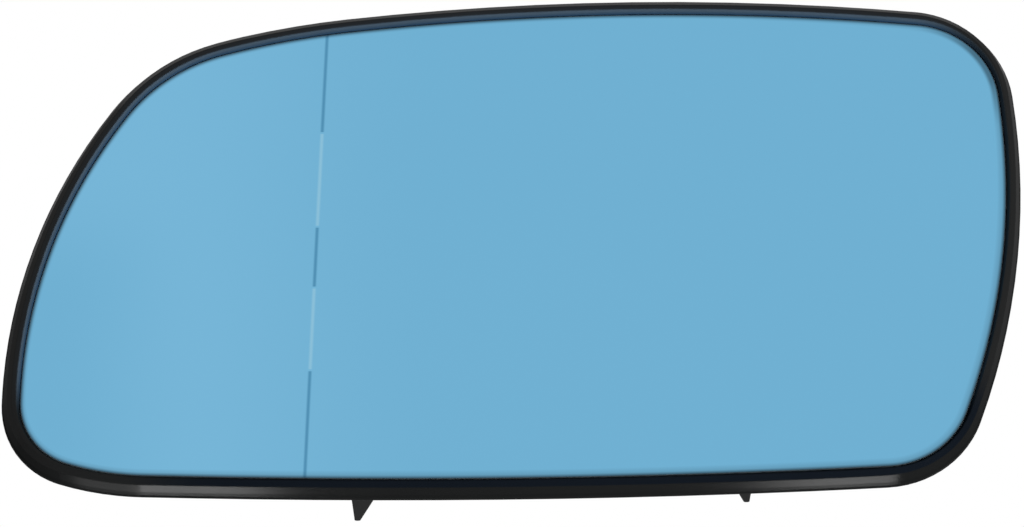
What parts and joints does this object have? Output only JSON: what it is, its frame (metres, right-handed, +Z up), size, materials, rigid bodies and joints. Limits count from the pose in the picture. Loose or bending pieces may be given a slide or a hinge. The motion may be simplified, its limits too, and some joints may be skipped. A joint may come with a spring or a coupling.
{
  "type": "car door mirror glass",
  "caption": "Blue-tinted bent mirror glass of a car door mirror, bonded in a black moulded backing plate with a raised rim, ribs, guide prongs and a claw ring that snaps onto the adjuster.",
  "frame": {"origin": "on the axis of the claw ring, level with the land that the adjuster disc sits on", "axes": "+Y from the glass to the back along the axis of the claw ring, +Z up as fitted on the door, +X to the right as one looks into the glass"},
  "size_m": [0.1888, 0.0172, 0.1006],
  "materials": {
    "mirror_glass": "polished, blue-tinted",
    "bonding_pad": "closed-cell foam",
    "backing_plate": "satin black moulding"
  },
  "bodies": {
    "root": {"mirror_glass": "mirror_glass", "bonding_pad": "bonding_pad", "backing_plate": "backing_plate"}
  },
  "joints": []
}
